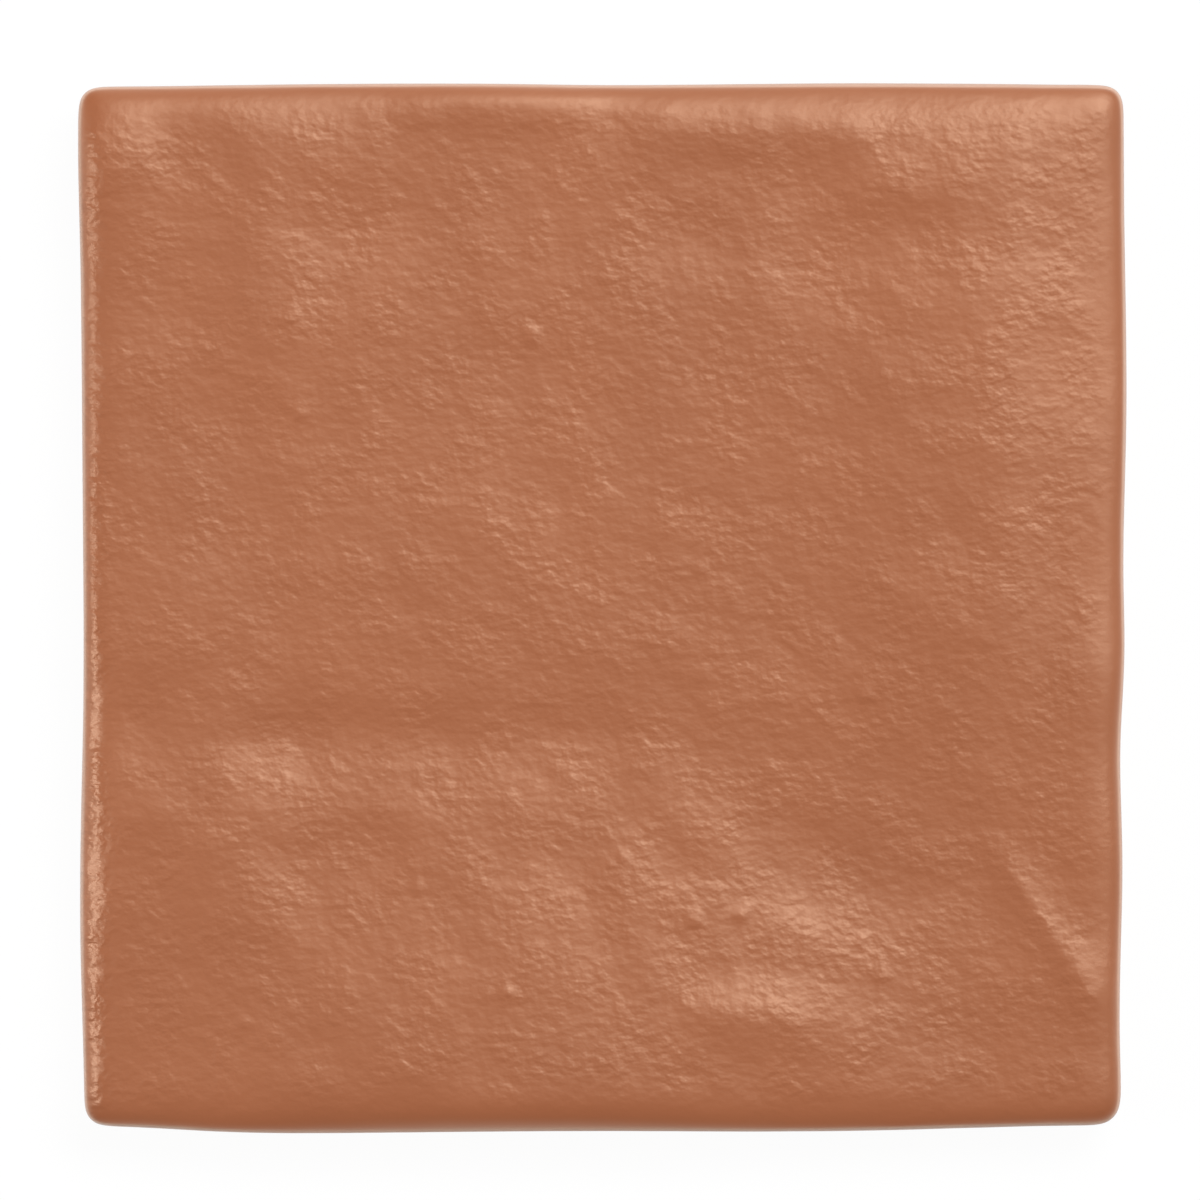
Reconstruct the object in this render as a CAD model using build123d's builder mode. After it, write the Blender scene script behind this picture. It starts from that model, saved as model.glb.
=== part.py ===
from build123d import *
from math import cos, hypot, radians, sin
import os

# A square wall tile of fired clay with an uneven glazed face.
# Millimetres. The back lies on Z = 0, the glazed face looks up, +Y is the tile's top edge.

# Body
width = 100.0  # over the widest level, left to right
depth = 100.0  # over the widest level, top edge to bottom edge
thickness = 10.0  # from the back to the mean level of the face
side_lean = 0.6  # how far each side draws in from its widest level down to the back
back_break = 0.4  # break on the arris of the back

# Face
edge_roll = 1.6  # radius of the roll where the face turns over into the sides
edge_fall = 0.35  # drop of the face by the time it reaches a side
fall_width = 4.5  # how far in from a side the face starts to drop
swell_height = 0.33  # height of a full swell
swell_reach = 7.0  # distance from the middle of a swell to where it dies out
face_step = 2.0  # spacing of the points that the face follows
face_tolerance = 0.02  # how closely it follows them
face_margin = 3.0  # how far the cutting face runs on past the sides
headroom = 2.0  # blank left above the mean level for the face to be cut from

# Corners: how far the corner sits in from the true square in X and in Y, and its radius
corner_top_left = (0.05, 0.35, 2.0)
corner_top_right = (0.25, 0.15, 2.0)
corner_bottom_right = (0.50, 0.60, 2.5)
corner_bottom_left = (0.60, 0.50, 2.1)

# Sides: how far the side wanders in from the true square, at shares of the half side along it
wander_top = [
    (-0.70, 0.20), (-0.20, 0.10), (-0.04, 0.20), (0.46, 0.0), (0.80, 0.10),
]
wander_right = [
    (0.75, 0.20), (0.34, 0.0), (0.05, 0.28), (-0.07, 0.18), (-0.27, 0.60), (-0.48, 0.38), (-0.80, 0.65),
]
wander_bottom = [
    (0.70, 0.33), (0.30, 0.05), (0.03, 0.18), (-0.45, 0.0), (-0.75, 0.08),
]
wander_left = [
    (-0.80, 0.45), (-0.58, 0.20), (-0.16, 0.55), (0.30, 0.45), (0.62, 0.30),
]

# Swells and hollows: centre in shares of the half sides, reach along and across as multiples
# of swell_reach, turn in degrees, then height as a multiple of swell_height
swells = [
    (-0.90, -0.21, 1.4, 0.9, 0, -0.6),  # valley across the tile, from the left side
    (-0.60, -0.24, 1.7, 1.0, 0, -1.1),
    (-0.32, -0.24, 2.2, 1.0, 0, -0.7),
    (-0.05, -0.23, 2.2, 1.2, -8, -0.8),
    (0.22, -0.29, 2.1, 1.3, -18, -0.5),
    (0.40, -0.49, 1.8, 1.2, -30, -0.6),
    (0.61, -0.50, 3.6, 2.8, -20, -1.8),  # broad hollow at the lower right
    (-0.72, -0.47, 2.6, 1.3, 80, 0.8),  # rise below the valley's left end
    (-0.20, -0.97, 6.5, 5.0, 5, 4.2),  # broad rise to the bottom edge
    (-0.95, -0.95, 2.8, 2.8, 0, -1.0),
    (0.00, -1.06, 9.0, 1.15, 0, -1.8),  # the bottom edge falls away
    (-1.05, -0.46, 4.8, 0.85, 90, -3.0),  # the left edge falls away in its lower half
    (-0.46, -0.46, 1.6, 0.9, 0, -0.4),
    (-0.08, -0.70, 3.0, 1.2, -55, 0.4),
    (0.29, -0.78, 1.9, 0.85, -3, 1.2),  # long ridge near the bottom edge
    (0.51, -0.86, 1.4, 0.75, -52, 0.7),
    (0.40, -0.62, 1.2, 0.65, -10, 0.6),  # small ridge over the long one
    (0.74, -0.88, 2.4, 1.8, 0, -1.3),
    (0.86, -0.63, 2.0, 0.58, -56, 0.75),  # crease at the lower right
    (-0.95, 0.83, 1.3, 1.3, 0, 1.4),  # knob in the top left corner
    (-0.62, 0.56, 2.4, 0.9, 90, 0.5),
    (-0.57, 0.83, 1.6, 1.0, 0, 0.5),
    (-0.42, 0.74, 1.7, 0.9, 0, -0.7),  # dip near the top left
    (-0.18, 1.03, 1.9, 1.2, 0, 1.6),  # the top edge stands up here
    (0.60, 1.05, 5.0, 1.2, 0, -1.7),  # and falls away here
    (0.30, 0.92, 2.8, 0.9, 0, 0.7),
    (0.57, 0.83, 1.1, 0.8, 0, 0.7),
    (0.75, 0.84, 1.4, 1.0, 0, 0.6),
    (0.42, 0.70, 1.7, 1.0, -60, -0.6),
    (0.18, 0.68, 2.2, 1.0, 0, -0.4),
    (0.62, 0.70, 1.4, 0.8, 0, -0.5),
    (0.73, 0.45, 5.5, 1.6, 90, 1.9),  # long rise by the right side
    (0.56, 0.45, 5.5, 2.6, 90, 1.2),
    (-0.72, 0.38, 3.6, 1.2, -75, -0.35),  # slant hollow on the left
    (-0.80, -0.03, 1.4, 1.2, 0, 0.6),
    (-0.16, 0.38, 2.5, 1.6, -15, -0.4),
    (-0.32, 0.11, 2.4, 1.3, 0, 0.4),
    (0.95, -0.13, 1.1, 1.0, 0, 0.9),  # rises on the right edge
    (0.95, -0.44, 1.2, 0.9, 90, 0.6),
]

half_width = width / 2
half_depth = depth / 2
widest = thickness - edge_roll  # level of the true outline
blank_top = thickness + headroom
back_inset = side_lean
top_inset = side_lean * (widest - blank_top) / widest


def swell_at(x, y, centre_x, centre_y, along, across, turn, height):
    # height of one swell: full at its centre, easing to nothing at its reach
    from_x = x - centre_x * half_width
    from_y = y - centre_y * half_depth
    slant = radians(turn)
    run = (from_x * cos(slant) + from_y * sin(slant)) / (along * swell_reach)
    side = (from_y * cos(slant) - from_x * sin(slant)) / (across * swell_reach)
    t = max(0.0, 1 - hypot(run, side))
    return height * swell_height * t * t * (3 - 2 * t)


def face_level(x, y):
    level = thickness
    for swell in swells:
        level += swell_at(x, y, *swell)
    for inside in (half_width - abs(x), half_depth - abs(y)):
        level -= edge_fall * max(0.0, 1 - inside / fall_width) ** 2
    return level


def corner_at(sign_x, sign_y, corner, inset):
    # centre and radius of the arc that joins two sides
    radius = corner[2] - inset
    x = half_width - inset - corner[0] - radius
    y = half_depth - inset - corner[1] - radius
    return Vector(sign_x * x, sign_y * y), radius


columns = round((width + 2 * face_margin) / face_step)
rows = round((depth + 2 * face_margin) / face_step)
face_points = []
for row in range(rows + 1):
    y = (half_depth + face_margin) * (2 * row / rows - 1)
    line = []
    for column in range(columns + 1):
        x = (half_width + face_margin) * (2 * column / columns - 1)
        line.append((x, y, face_level(x, y)))
    face_points.append(line)
uneven_face = Face.make_surface_from_array_of_points(face_points, tol=face_tolerance, min_deg=3, max_deg=3)

with BuildPart() as tile:
    for level, inset in ((0.0, back_inset), (blank_top, top_inset)):
        right = half_width - inset
        top = half_depth - inset
        along_top = [(share * half_width, top - wander) for share, wander in wander_top]
        along_right = [(right - wander, share * half_depth) for share, wander in wander_right]
        along_bottom = [(share * half_width, wander - top) for share, wander in wander_bottom]
        along_left = [(wander - right, share * half_depth) for share, wander in wander_left]
        nw, nw_radius = corner_at(-1, 1, corner_top_left, inset)
        ne, ne_radius = corner_at(1, 1, corner_top_right, inset)
        se, se_radius = corner_at(1, -1, corner_bottom_right, inset)
        sw, sw_radius = corner_at(-1, -1, corner_bottom_left, inset)
        with BuildSketch(Plane.XY.offset(level)):
            with BuildLine():
                Spline(nw + (0, nw_radius), *along_top, ne + (0, ne_radius), tangents=((1, 0), (1, 0)))
                CenterArc(ne, ne_radius, 90, -90)
                Spline(ne + (ne_radius, 0), *along_right, se + (se_radius, 0), tangents=((0, -1), (0, -1)))
                CenterArc(se, se_radius, 0, -90)
                Spline(se - (0, se_radius), *along_bottom, sw - (0, sw_radius), tangents=((-1, 0), (-1, 0)))
                CenterArc(sw, sw_radius, 270, -90)
                Spline(sw - (sw_radius, 0), *along_left, nw - (nw_radius, 0), tangents=((0, 1), (0, 1)))
                CenterArc(nw, nw_radius, 180, -90)
            make_face()
    loft(ruled=True)
    extrude(uneven_face, amount=2 * headroom, dir=(0, 0, 1), mode=Mode.SUBTRACT)
    glazed = tile.faces().sort_by(Axis.Z)[-1]
    fillet(glazed.edges(), radius=edge_roll)
    back = tile.faces().sort_by(Axis.Z)[0]
    chamfer(back.edges(), length=back_break)

tile.part.label = "tile"
os.makedirs("parts", exist_ok=True)
export_step(tile.part, "parts/tile.step")
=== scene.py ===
import math
import bpy
from mathutils.kdtree import KDTree
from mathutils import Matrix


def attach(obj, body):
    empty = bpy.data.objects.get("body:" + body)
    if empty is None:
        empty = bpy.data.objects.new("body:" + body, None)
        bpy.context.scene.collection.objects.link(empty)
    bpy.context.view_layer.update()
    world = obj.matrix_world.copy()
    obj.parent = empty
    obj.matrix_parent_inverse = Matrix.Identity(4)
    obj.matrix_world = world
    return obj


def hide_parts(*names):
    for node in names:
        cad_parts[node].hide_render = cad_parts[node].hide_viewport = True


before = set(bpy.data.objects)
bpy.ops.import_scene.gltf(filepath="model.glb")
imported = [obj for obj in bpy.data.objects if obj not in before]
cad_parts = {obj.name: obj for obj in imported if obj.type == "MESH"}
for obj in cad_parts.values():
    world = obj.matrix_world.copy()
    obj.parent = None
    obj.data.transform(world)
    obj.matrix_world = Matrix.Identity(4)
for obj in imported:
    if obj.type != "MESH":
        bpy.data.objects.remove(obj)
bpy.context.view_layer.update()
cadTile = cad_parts["tile"]
scene = bpy.context.scene
scene.view_settings.view_transform = "Standard"


def activate(obj):
    bpy.ops.object.select_all(action="DESELECT")
    obj.select_set(True)
    bpy.context.view_layer.objects.active = obj


def applyModifier(obj, modifier):
    activate(obj)
    bpy.ops.object.modifier_apply(modifier=modifier.name)


def easeBetween(value, low, high):
    t = min(1.0, max(0.0, (value - low) / (high - low)))
    return t * t * (3 - 2 * t)


def metres(millimetres):
    return millimetres / 1000


# the tile: a grid for the face with its sides drawn down, pulled onto the fired shape
tileShape = {
    "side": 0.100,
    "squares": 60,
    "faceLevel": 0.0100,
    "sideLevels": (0.0092, 0.0082, 0.0068, 0.0050, 0.0030, 0.0012, 0.0004),
    "backRings": (0.978, 0.955),    # shares of the side that the back is turned under to
    "backInset": 0.0018,
    "faceFloor": 0.0080,    # the face lies above this level
    "meltInset": 0.0010,    # the facets are smoothed from this far in
    "melt": 2,              # rounds of smoothing over them
    "refine": 2,            # rounds of subdivision
    "foldStep": 0.4,        # millimetres between the points that a fold is pulled up by
    "reliefFloor": 0.0075,  # waves stay above this level
    "rimQuiet": 0.0010,     # they start this far in from the side
    "rimFull": 0.0035,      # and are at full height from here
    "smoothAngle": 35.0,
}

# uneven glaze: clouds of relief, size of a cloud and full height, metres
glazeWaves = (
    {"name": "slowWave", "size": 0.0080, "height": 0.00018, "depth": 1},
    {"name": "midWave", "size": 0.0030, "height": 0.00009, "depth": 1},
)

# pimples in the glaze: x, y, height and reach, millimetres
glazePimples = (
    (-6.5, 25.7, 0.16, 1.2), (8.7, -29.6, 0.15, 1.4), (13.3, -29.1, 0.14, 1.2), (25.2, -8.4, 0.13, 1.1),
    (16.1, -15.5, 0.10, 1.1), (-29.7, 27.5, 0.10, 1.1), (-28.8, 18.4, 0.10, 1.0), (-17.3, -26.5, 0.10, 1.0),
    (-9.2, -36.5, 0.10, 1.1), (9.4, 3.8, 0.09, 1.1), (9.4, -6.4, 0.08, 1.0), (32.3, -9.6, 0.08, 1.0),
    (24.7, -31.8, 0.10, 1.1), (26.6, -35.1, 0.10, 1.1), (-34.0, -39.4, 0.09, 1.0), (-29.7, -38.4, 0.09, 1.0),
    (27.6, 40.1, 0.09, 1.1), (28.3, 29.4, 0.09, 1.0), (2.2, -23.6, 0.09, 1.0), (-6.8, -25.1, 0.08, 1.0),
)

# soft dabs in the glaze: from x, y to x, y, height (a dip is below 0) and reach, millimetres
glazeDabs = (
    (-47.0, -11.0, -41.0, -12.0, -0.06, 4.5),   # along the valley
    (-40.0, -11.0, -37.5, -11.5, 0.07, 4.0),
    (-32.0, -11.5, -29.0, -12.4, -0.11, 5.0),
    (-28.0, -12.6, -18.0, -13.0, -0.04, 4.5),
    (-36.0, -9.0, -33.0, -9.5, 0.10, 4.0),      # lip over it
    (-20.0, -9.0, 4.0, -10.0, 0.08, 4.5),
    (-32.0, -19.6, -29.5, -20.2, 0.09, 5.0),    # bank under its left end
    (-46.0, -18.0, -43.0, -19.0, 0.10, 5.0),
    (-42.0, -20.0, -37.0, -21.0, 0.11, 5.0),
    (-26.0, -19.4, -18.0, -19.8, 0.06, 3.2),
    (-17.0, -21.0, -8.0, -21.0, 0.08, 4.5),
    (-10.0, -18.0, -4.0, -18.5, 0.08, 4.5),
    (-17.0, -25.0, -13.0, -25.0, 0.11, 4.0),
    (4.0, -15.5, 10.0, -21.5, 0.16, 4.5),       # the bank steps back here
    (1.5, -26.0, 5.0, -35.0, 0.15, 4.0),
    (-37.0, -24.0, -32.0, -28.0, 0.17, 5.0),    # swells at the lower left
    (-37.0, -28.5, -31.0, -31.0, 0.10, 5.0),
    (-24.0, -38.0, -19.0, -43.0, 0.10, 5.0),
    (-14.0, -37.5, -10.0, -37.5, 0.08, 5.0),
    (-49.3, -4.0, -49.3, 9.0, 0.18, 4.0),       # the left edge stands up
    (-12.0, -49.0, 12.0, -49.0, 0.24, 5.0),     # and the bottom edge
    (7.0, -28.8, 11.0, -28.8, 0.08, 4.0),       # lump over the long ridge
    (10.0, -34.8, 20.0, -35.4, -0.05, 3.5),     # hollow between
    (23.0, -40.0, 28.0, -46.0, -0.13, 5.0),
    (-47.5, 43.8, -45.0, 43.0, 0.17, 5.0),      # knob in the corner
    (-32.0, 26.0, -26.0, 26.0, 0.16, 11.0),     # broad swell at the upper left
    (-36.0, 32.0, -36.0, 46.0, 0.12, 7.0),
    (-31.0, 34.0, -31.0, 44.0, 0.10, 6.0),
    (-17.0, 48.0, -3.0, 48.4, 0.12, 4.0),       # the top edge stands up
    (5.0, 45.6, 24.0, 45.2, 0.09, 4.0),         # under the top edge
    (1.0, 43.0, 4.0, 43.0, 0.07, 4.0),
    (4.0, 31.0, 14.0, 31.0, 0.08, 6.0),
    (26.5, 39.5, 28.5, 39.5, 0.10, 4.5),
    (28.0, 30.0, 29.0, 30.0, 0.07, 4.5),
    (37.0, 42.0, 41.0, 42.0, -0.10, 6.0),
    (40.0, 29.0, 43.0, 29.0, 0.04, 6.0),
    (20.0, 33.0, 25.0, 29.0, -0.05, 3.5),
    (28.0, 2.0, 28.0, 22.0, 0.12, 6.0),         # upright swells on the right
    (31.0, -1.0, 36.0, -3.0, 0.15, 9.0),
    (38.5, 2.0, 38.5, 14.0, 0.08, 4.5),
    (49.4, 26.0, 49.4, 43.0, -0.18, 7.5),       # the right edge rolls over sooner
)

# creases, with a sharp crest
glazeCreases = (
    (9.0, -38.6, 21.5, -39.2, 0.08, 4.0),       # long ridge
    (38.5, -24.5, 46.6, -36.8, 0.18, 3.2),      # lower right
)


def drawCage():
    shape = tileShape
    bpy.ops.object.select_all(action="DESELECT")
    bpy.ops.mesh.primitive_grid_add(x_subdivisions=shape["squares"], y_subdivisions=shape["squares"],
                                    size=shape["side"], location=(0, 0, shape["faceLevel"]))
    tile = bpy.context.object
    tile.name = "glazed_tile"
    tile.data.name = "glazed_tile"
    bpy.ops.object.transform_apply(location=True, rotation=True, scale=True)
    bpy.ops.object.mode_set(mode="EDIT")
    bpy.ops.mesh.select_mode(type="EDGE")
    bpy.ops.mesh.select_all(action="SELECT")
    bpy.ops.mesh.region_to_loop()
    level = shape["faceLevel"]
    for nextLevel in shape["sideLevels"]:
        bpy.ops.mesh.extrude_edges_move(TRANSFORM_OT_translate={"value": (0, 0, nextLevel - level)})
        level = nextLevel
    drawnTo = 1.0
    for share in shape["backRings"]:
        bpy.ops.mesh.extrude_edges_move(TRANSFORM_OT_translate={"value": (0, 0, -level)})
        bpy.ops.transform.resize(value=(share / drawnTo, share / drawnTo, 1), center_override=(0, 0, 0))
        level, drawnTo = 0.0, share
    bpy.ops.object.mode_set(mode="OBJECT")
    return tile


def insideSide(vertex):
    # how far in from the nearest side
    return tileShape["side"] / 2 - max(abs(vertex.co.x), abs(vertex.co.y))


def pullOntoShape(tile):
    wrap = tile.modifiers.new("ontoShape", "SHRINKWRAP")
    wrap.target = cadTile
    wrap.wrap_method = "NEAREST_SURFACEPOINT"
    applyModifier(tile, wrap)
    facePart = tile.vertex_groups.new(name="facePart")
    for vertex in tile.data.vertices:
        if vertex.co.z > tileShape["faceFloor"] and insideSide(vertex) > tileShape["meltInset"]:
            facePart.add([vertex.index], 1.0, "REPLACE")
    melt = tile.modifiers.new("meltFacets", "SMOOTH")
    melt.factor = 0.5
    melt.iterations = tileShape["melt"]
    melt.vertex_group = "facePart"
    applyModifier(tile, melt)
    refine = tile.modifiers.new("refine", "SUBSURF")
    refine.levels = tileShape["refine"]
    refine.render_levels = tileShape["refine"]
    applyModifier(tile, refine)
    print("cage on shape:", len(tile.data.vertices), "points")


def weighFace(tile):
    relief = tile.vertex_groups.new(name="relief")
    for vertex in tile.data.vertices:
        if vertex.co.z > tileShape["reliefFloor"]:
            weight = easeBetween(insideSide(vertex), tileShape["rimQuiet"], tileShape["rimFull"])
            relief.add([vertex.index], weight, "REPLACE")


def raiseWaves(tile):
    for wave in glazeWaves:
        clouds = bpy.data.textures.new(wave["name"], "CLOUDS")
        clouds.noise_scale = wave["size"]
        clouds.noise_depth = wave["depth"]
        lift = tile.modifiers.new(wave["name"], "DISPLACE")
        lift.texture = clouds
        lift.texture_coords = "LOCAL"
        lift.direction = "Z"
        lift.mid_level = 0.5
        lift.strength = wave["height"]
        lift.vertex_group = "relief"
        applyModifier(tile, lift)


def placesOnFace(tile):
    # points below the face are set aside by one metre, so that none of them is the nearest
    places = KDTree(len(tile.data.vertices))
    for vertex in tile.data.vertices:
        onFace = vertex.co.z > tileShape["faceFloor"]
        places.insert((vertex.co.x, vertex.co.y, 0 if onFace else 1), vertex.index)
    places.balance()
    return places


def pointsAlong(places, fromX, fromY, toX, toY):
    steps = round(math.hypot(toX - fromX, toY - fromY) / tileShape["foldStep"])
    picked = []
    for step in range(steps + 1):
        share = step / steps
        x = fromX + (toX - fromX) * share
        y = fromY + (toY - fromY) * share
        picked.append(places.find((metres(x), metres(y), 0))[1])
    return picked


def pullUp(tile, picked, height, reach, falloff):
    for index in picked:
        tile.data.vertices[index].select = True
    bpy.ops.object.mode_set(mode="EDIT")
    bpy.ops.transform.translate(value=(0, 0, metres(height)), use_proportional_edit=True,
                                proportional_edit_falloff=falloff, proportional_size=metres(reach))
    bpy.ops.mesh.select_all(action="DESELECT")
    bpy.ops.object.mode_set(mode="OBJECT")


def raiseDabs(tile):
    activate(tile)
    places = placesOnFace(tile)
    bpy.ops.object.mode_set(mode="EDIT")
    bpy.ops.mesh.select_mode(type="VERT")
    bpy.ops.mesh.select_all(action="DESELECT")
    bpy.ops.object.mode_set(mode="OBJECT")
    for rows, falloff in ((glazeDabs, "SMOOTH"), (glazeCreases, "SHARP")):
        for fromX, fromY, toX, toY, height, reach in rows:
            pullUp(tile, pointsAlong(places, fromX, fromY, toX, toY), height, reach, falloff)
    for x, y, height, reach in glazePimples:
        pullUp(tile, [places.find((metres(x), metres(y), 0))[1]], height, reach, "SMOOTH")
    print("dabs, creases and pimples raised:", len(glazeDabs), len(glazeCreases), len(glazePimples))


def closeBack(tile):
    activate(tile)
    bpy.ops.object.mode_set(mode="EDIT")
    bpy.ops.mesh.select_mode(type="EDGE")
    bpy.ops.mesh.select_all(action="SELECT")
    bpy.ops.mesh.region_to_loop()
    bpy.ops.mesh.edge_face_add()
    bpy.ops.mesh.inset(thickness=tileShape["backInset"], depth=0.0)
    bpy.ops.mesh.select_all(action="SELECT")
    bpy.ops.mesh.normals_make_consistent(inside=False)
    bpy.ops.mesh.select_all(action="DESELECT")
    bpy.ops.object.mode_set(mode="OBJECT")
    activate(tile)
    bpy.ops.object.shade_smooth_by_angle(angle=math.radians(tileShape["smoothAngle"]))


tile = drawCage()
pullOntoShape(tile)
weighFace(tile)
raiseWaves(tile)
raiseDabs(tile)
closeBack(tile)
print("tile modelled:", len(tile.data.polygons), "faces")

# the glaze; places and levels in metres, a pair runs from where a change starts to where it ends
glazeFinish = {
    "deep": (0.265, 0.081, 0.0325, 1),
    "warm": (0.302, 0.0975, 0.041, 1),
    "driftScale": 55.0,
    "sheen": (1.0, 0.74, 0.54, 1),
    "ior": 1.60,
    "roughness": 0.40,
    # pale glaze over the edge, partly a painted highlight along the rolled edge
    "paleGlazeAndPaintedHighlight": (0.60, 0.37, 0.27, 1),
    "paleLean": (0.93, 0.50),           # upward part of the surface normal
    "paleShare": (0.0, 0.9),
    "paleLevels": (0.0072, 0.0084),
    "leftEdge": (-0.0462, -0.0482),     # across the left edge
    "leftLower": (0.004, -0.008),       # down its length
    "leftGloss": (0.5, 1.0),            # share of the gloss above and below
    "leftRoughness": 0.28,
    "leftGrain": (1.0, 1.5),
    "peelSize": 0.00157,
    "peelHeight": 0.000088,
    "peelDetail": 1.7,
    "peelDraw": (0.88, 1.12, 1.0),      # the grain is drawn out from side to side
    "poolSize": 0.0075,
    "poolNoise": (0.36, 0.66),
    "poolGrain": (0.66, 1.18),
    "rimQuiet": (0.0494, 0.0446),
    "rimGrain": (0.30, 1.0),
    "cloudSpan": 1.5,                   # units of noise to the size of a grain or a pool
}

# the bare clay, and where the glaze stops on it
clayFinish = {
    "clay": (0.43, 0.20, 0.12),
    "shades": (0.75, 1.2),
    "grainScale": 420.0,
    "roughness": 0.9,
    "glazeStop": (0.0056, 0.0063),
    "runScale": 120.0,
    "runLength": 0.0055,
}


def addNode(tree, kind, name, **values):
    node = tree.nodes.new(kind)
    node.name = name
    node.label = name
    for key, value in values.items():
        if key in node.inputs:
            node.inputs[key].default_value = value
        else:
            setattr(node, key, value)
    return node


def rangeNode(tree, name, source, fromPair, toPair, smooth=True):
    node = addNode(tree, "ShaderNodeMapRange", name)
    node.interpolation_type = "SMOOTHSTEP" if smooth else "LINEAR"
    node.inputs["From Min"].default_value, node.inputs["From Max"].default_value = fromPair
    node.inputs["To Min"].default_value, node.inputs["To Max"].default_value = toPair
    tree.links.new(source, node.inputs["Value"])
    return node


def mathNode(tree, name, operation, first, second):
    node = addNode(tree, "ShaderNodeMath", name, operation=operation)
    tree.links.new(first, node.inputs[0])
    tree.links.new(second, node.inputs[1])
    return node.outputs[0]


def noiseOn(tree, name, spot, **values):
    node = addNode(tree, "ShaderNodeTexNoise", name, **values)
    tree.links.new(spot, node.inputs["Vector"])
    return node.outputs["Fac"]


def blendColours(tree, name, share, first, second):
    # a colour is given as a tuple or as the socket that it comes from
    node = addNode(tree, "ShaderNodeMix", name, data_type="RGBA")
    tree.links.new(share, node.inputs[0])
    for socket, colour in ((node.inputs[6], first), (node.inputs[7], second)):
        if isinstance(colour, tuple):
            socket.default_value = colour
        else:
            tree.links.new(colour, socket)
    return node.outputs[2]


def orangePeelGroup():
    group = bpy.data.node_groups.new("orangePeel", "ShaderNodeTree")
    group.interface.new_socket("Place", in_out="INPUT", socket_type="NodeSocketVector")
    group.interface.new_socket("Scale", in_out="INPUT", socket_type="NodeSocketFloat")
    group.interface.new_socket("Detail", in_out="INPUT", socket_type="NodeSocketFloat")
    group.interface.new_socket("Height", in_out="OUTPUT", socket_type="NodeSocketFloat")
    inside = group.nodes.new("NodeGroupInput")
    outside = group.nodes.new("NodeGroupOutput")
    grain = addNode(group, "ShaderNodeTexNoise", "peelGrain", noise_dimensions="2D", Roughness=0.5)
    group.links.new(inside.outputs["Place"], grain.inputs["Vector"])
    group.links.new(inside.outputs["Scale"], grain.inputs["Scale"])
    group.links.new(inside.outputs["Detail"], grain.inputs["Detail"])
    group.links.new(grain.outputs["Fac"], outside.inputs["Height"])
    return group


def glazeReach(tree, spot, split):
    # the glaze runs part of the way down the sides and stops unevenly
    run = noiseOn(tree, "runNoise", spot, Scale=clayFinish["runScale"], Detail=1.0, Roughness=0.6)
    runDown = addNode(tree, "ShaderNodeMath", "runDown", operation="MULTIPLY_ADD")
    runDown.inputs[1].default_value = clayFinish["runLength"]
    tree.links.new(run, runDown.inputs[0])
    tree.links.new(split.outputs["Z"], runDown.inputs[2])
    glazed = rangeNode(tree, "glazed", runDown.outputs[0], clayFinish["glazeStop"], (0.0, 1.0))
    return glazed.outputs["Result"]


def glazeColour(tree, place, split):
    finish = glazeFinish
    drift = noiseOn(tree, "drift", place.outputs["Object"], noise_dimensions="2D",
                    Scale=finish["driftScale"], Detail=2.0, Roughness=0.6)
    colour = blendColours(tree, "glazeColour", drift, finish["deep"], finish["warm"])
    # the glaze breaks pale where it turns over the edge, and this pale colour is also a painted highlight
    # along the rolled edge
    lean = addNode(tree, "ShaderNodeSeparateXYZ", "lean")
    tree.links.new(place.outputs["Normal"], lean.inputs[0])
    steep = rangeNode(tree, "steep", lean.outputs["Z"], finish["paleLean"], finish["paleShare"])
    onRoll = rangeNode(tree, "onRoll", split.outputs["Z"], finish["paleLevels"], (0.0, 1.0))
    paleBreakAndPaintedHighlightMask = mathNode(tree, "paleBreakAndPaintedHighlightMask", "MULTIPLY", steep.outputs["Result"], onRoll.outputs["Result"])
    return blendColours(tree, "paleBreakWithPaintedHighlight", paleBreakAndPaintedHighlightMask, colour, finish["paleGlazeAndPaintedHighlight"])


def glazeRoughness(tree, split, leftEdge):
    # the left edge is glossier, most of all in its lower half
    finish = glazeFinish
    lower = rangeNode(tree, "leftLower", split.outputs["Y"], finish["leftLower"], finish["leftGloss"])
    leftGloss = mathNode(tree, "leftGloss", "MULTIPLY", leftEdge, lower.outputs["Result"])
    roughnessPair = (finish["roughness"], finish["leftRoughness"])
    rimGloss = rangeNode(tree, "rimGloss", leftGloss, (0.0, 1.0), roughnessPair, smooth=False)
    return rimGloss.outputs["Result"]


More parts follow.
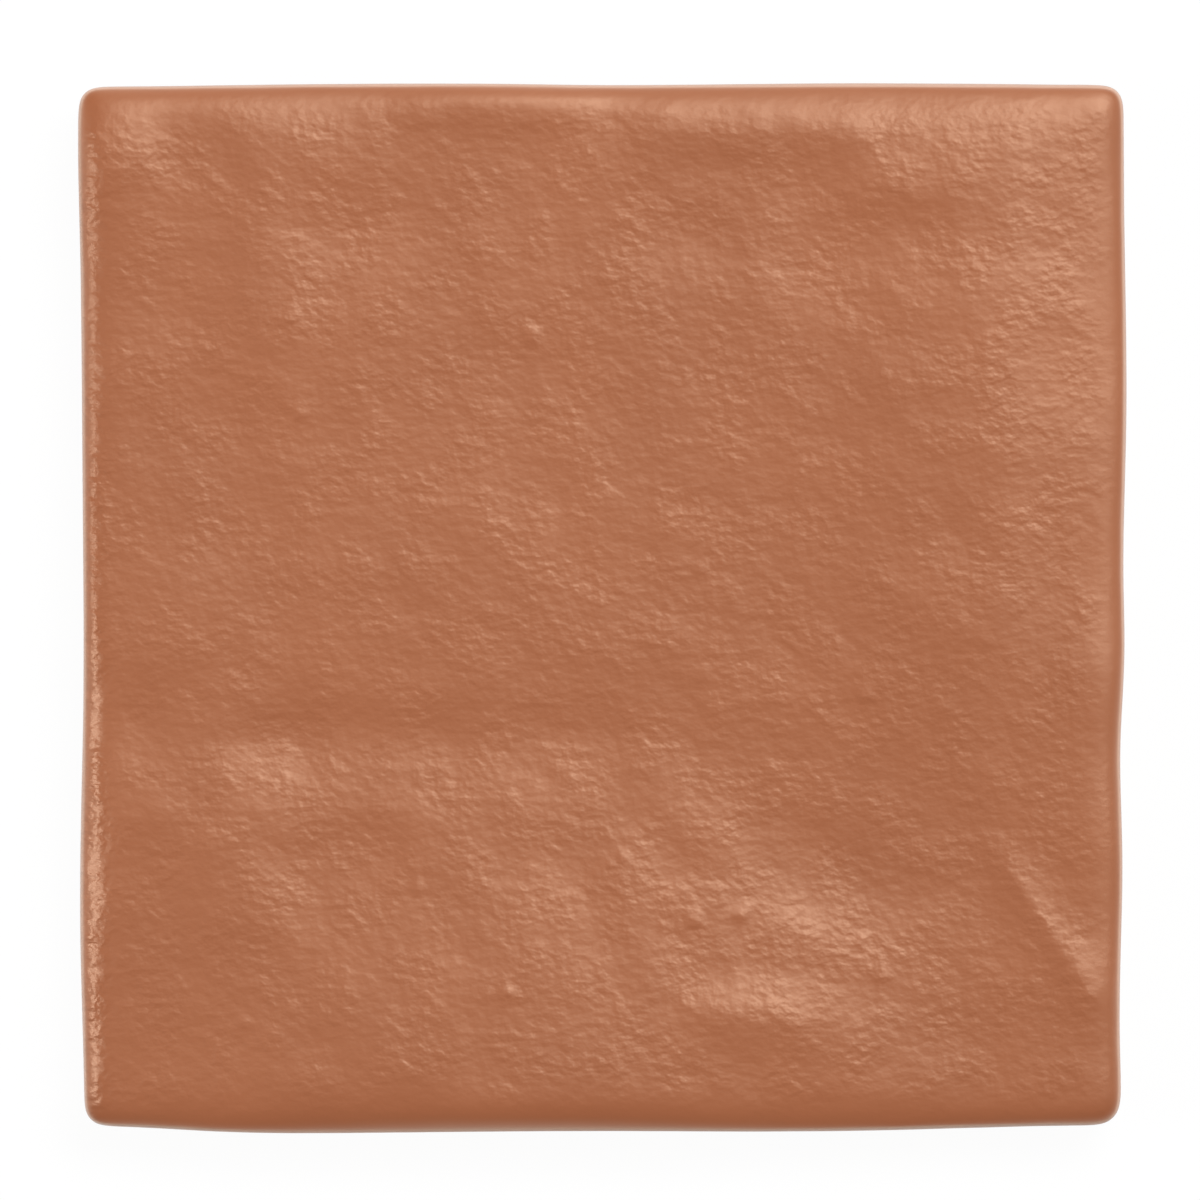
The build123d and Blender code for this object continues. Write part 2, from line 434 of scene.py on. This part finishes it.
def peelHeight(tree, spot, split, leftEdge):
    finish = glazeFinish
    drawn = addNode(tree, "ShaderNodeVectorMath", "drawnOut", operation="MULTIPLY")
    drawn.inputs[1].default_value = finish["peelDraw"]
    tree.links.new(spot, drawn.inputs[0])
    peel = tree.nodes.new("ShaderNodeGroup")
    peel.node_tree = orangePeelGroup()
    peel.name = "peel"
    peel.inputs["Scale"].default_value = finish["cloudSpan"] / finish["peelSize"]
    peel.inputs["Detail"].default_value = finish["peelDetail"]
    tree.links.new(drawn.outputs[0], peel.inputs["Place"])
    # the glaze lies smoother where it pooled
    pools = noiseOn(tree, "pools", spot, noise_dimensions="2D",
                    Scale=finish["cloudSpan"] / finish["poolSize"], Detail=1.0)
    poolDepth = rangeNode(tree, "poolDepth", pools, finish["poolNoise"], finish["poolGrain"])
    # and along the top, right and bottom edges
    absY = addNode(tree, "ShaderNodeMath", "absY", operation="ABSOLUTE")
    tree.links.new(split.outputs["Y"], absY.inputs[0])
    outerRight = mathNode(tree, "outerRight", "MAXIMUM", split.outputs["X"], absY.outputs[0])
    quietRim = rangeNode(tree, "quietRim", outerRight, finish["rimQuiet"], finish["rimGrain"])
    calm = mathNode(tree, "calm", "MULTIPLY", poolDepth.outputs["Result"], quietRim.outputs["Result"])
    # and rougher down the left edge
    leftGrain = rangeNode(tree, "leftGrain", leftEdge, (0.0, 1.0), finish["leftGrain"], smooth=False)
    grained = mathNode(tree, "grained", "MULTIPLY", calm, leftGrain.outputs["Result"])
    return mathNode(tree, "peelFaded", "MULTIPLY", peel.outputs["Height"], grained)


def glazeMaterial():
    material = bpy.data.materials.new("satin_brown_glaze")
    material.use_nodes = True
    tree = material.node_tree
    shader = tree.nodes["Principled BSDF"]
    shader.inputs["IOR"].default_value = glazeFinish["ior"]
    shader.inputs["Specular Tint"].default_value = glazeFinish["sheen"]
    place = addNode(tree, "ShaderNodeTexCoord", "place")
    spot = place.outputs["Object"]
    split = addNode(tree, "ShaderNodeSeparateXYZ", "split")
    tree.links.new(spot, split.inputs[0])
    glazed = glazeReach(tree, spot, split)
    leftEdge = rangeNode(tree, "leftEdge", split.outputs["X"], glazeFinish["leftEdge"], (0.0, 1.0))
    leftEdge = leftEdge.outputs["Result"]

    clayGrain = noiseOn(tree, "clayNoise", spot, Scale=clayFinish["grainScale"], Detail=3.0, Roughness=0.7)
    darkClay, lightClay = [tuple(part * shade for part in clayFinish["clay"]) + (1,)
                           for shade in clayFinish["shades"]]
    clayColour = blendColours(tree, "clayColour", clayGrain, darkClay, lightClay)
    surface = blendColours(tree, "surfaceColour", glazed, clayColour, glazeColour(tree, place, split))
    tree.links.new(surface, shader.inputs["Base Color"])

    gloss = addNode(tree, "ShaderNodeMapRange", "gloss")
    gloss.inputs["To Min"].default_value = clayFinish["roughness"]
    tree.links.new(glazeRoughness(tree, split, leftEdge), gloss.inputs["To Max"])
    tree.links.new(glazed, gloss.inputs["Value"])
    tree.links.new(gloss.outputs["Result"], shader.inputs["Roughness"])

    skin = addNode(tree, "ShaderNodeMix", "skinHeight", data_type="FLOAT")
    tree.links.new(glazed, skin.inputs[0])
    tree.links.new(clayGrain, skin.inputs[2])
    tree.links.new(peelHeight(tree, spot, split, leftEdge), skin.inputs[3])
    bump = addNode(tree, "ShaderNodeBump", "skinBump", Strength=1.0, Distance=glazeFinish["peelHeight"])
    tree.links.new(skin.outputs[0], bump.inputs["Height"])
    tree.links.new(bump.outputs["Normal"], shader.inputs["Normal"])
    return material


tile.data.materials.clear()
tile.data.materials.append(glazeMaterial())
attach(tile, "root")
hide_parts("tile")
print("glaze on")

# floor, light and camera
studio = {
    "frameWidth": 0.11423,     # what the picture spans at the tile's widest level
    "level": 0.0087,           # that level
    "offset": (-0.000188, 0.000707),
    "lens": 600.0,
    "sensor": 36.0,
    "farthest": 20.0,
    "world": 0.03,
    "backdrop": 0.5,           # how white the surroundings show in the glaze
    "floorSize": 3.0,
    "floorLevel": -0.0002,     # a hair under the tile's back
    "paper": (0.9, 0.9, 0.9, 1),
    "paperRoughness": 0.9,
    "paperWhite": 0.96,        # share of plain white in the floor that the camera sees
}

# softboxes: tilt from overhead and turn from the top edge towards the right, degrees
softboxes = (
    {"name": "keySoftbox", "power": 37.8, "size": (0.92, 0.77), "tilt": 27.0, "turn": 30.0, "away": 2.2},
    {"name": "leftStrip", "power": 0.95, "size": (0.18, 0.15), "tilt": 42.0, "turn": -95.0, "away": 0.6},
    {"name": "rightStrip", "power": 0.65, "size": (0.25, 0.15), "tilt": 32.0, "turn": 68.0, "away": 0.6},
    {"name": "leftWall", "power": 1.2, "size": (0.70, 0.35), "tilt": 66.0, "turn": -88.0, "away": 0.8},
    {"name": "topWall", "power": 1.2, "size": (0.70, 0.35), "tilt": 62.0, "turn": 5.0, "away": 0.8},
    {"name": "rightWall", "power": 0.9, "size": (0.70, 0.35), "tilt": 62.0, "turn": 86.0, "away": 0.8},
    {"name": "bottomWall", "power": 0.35, "size": (0.70, 0.35), "tilt": 68.0, "turn": 180.0, "away": 0.8},
)


def areaLight(name, power, size, tilt, turn, away):
    lean = math.radians(tilt)
    heading = math.radians(turn)
    direction = (math.sin(lean) * math.sin(heading), math.sin(lean) * math.cos(heading), math.cos(lean))
    lamp = bpy.data.lights.new(name, "AREA")
    lamp.shape = "RECTANGLE"
    lamp.size, lamp.size_y = size
    lamp.energy = power
    holder = bpy.data.objects.new(name, lamp)
    scene.collection.objects.link(holder)
    holder.location = [away * part for part in direction]
    holder.rotation_euler = (lean, 0, math.radians(180 - turn))


def seenWhite(tree):
    # 1 for the rays that should find the surroundings white
    rays = addNode(tree, "ShaderNodeLightPath", "rays")
    total = rays.outputs["Is Camera Ray"]
    for kind in ("Is Glossy Ray", "Is Transmission Ray"):
        total = mathNode(tree, "either", "MAXIMUM", total, rays.outputs[kind])
    return total


def lightWorld():
    world = bpy.data.worlds.new("studioAir")
    scene.world = world
    world.use_nodes = True
    air = world.node_tree
    background = air.nodes["Background"]
    background.inputs["Color"].default_value = (1, 1, 1, 1)
    strengths = (studio["world"], studio["backdrop"])
    whiteOut = rangeNode(air, "whiteOut", seenWhite(air), (0.0, 1.0), strengths, smooth=False)
    air.links.new(whiteOut.outputs["Result"], background.inputs["Strength"])


def paperMaterial():
    paper = bpy.data.materials.new("white_paper")
    paper.use_nodes = True
    tree = paper.node_tree
    base = tree.nodes["Principled BSDF"]
    base.inputs["Base Color"].default_value = studio["paper"]
    base.inputs["Roughness"].default_value = studio["paperRoughness"]
    glow = addNode(tree, "ShaderNodeEmission", "paperWhite", Strength=1.0)
    share = addNode(tree, "ShaderNodeMath", "shareOfWhite", operation="MULTIPLY")
    share.inputs[1].default_value = studio["paperWhite"]
    blendPaper = addNode(tree, "ShaderNodeMixShader", "blendPaper")
    tree.links.new(seenWhite(tree), share.inputs[0])
    tree.links.new(share.outputs[0], blendPaper.inputs[0])
    tree.links.new(base.outputs[0], blendPaper.inputs[1])
    tree.links.new(glow.outputs[0], blendPaper.inputs[2])
    tree.links.new(blendPaper.outputs[0], tree.nodes["Material Output"].inputs["Surface"])
    return paper


def layFloor():
    bpy.ops.object.select_all(action="DESELECT")
    bpy.ops.mesh.primitive_plane_add(size=studio["floorSize"], location=(0, 0, studio["floorLevel"]))
    floor = bpy.context.object
    floor.name = "floor"
    floor.data.materials.append(paperMaterial())
    return floor


def setCamera():
    eye = bpy.data.cameras.new("eye")
    eye.lens = studio["lens"]
    eye.sensor_width = studio["sensor"]
    eye.clip_end = studio["farthest"]
    camera = bpy.data.objects.new("eye", eye)
    scene.collection.objects.link(camera)
    away = studio["frameWidth"] * studio["lens"] / studio["sensor"]
    camera.location = (*studio["offset"], studio["level"] + away)
    camera.rotation_euler = (0, 0, 0)
    scene.camera = camera


for softbox in softboxes:
    areaLight(**softbox)
lightWorld()
floor = layFloor()
setCamera()
print("studio set")
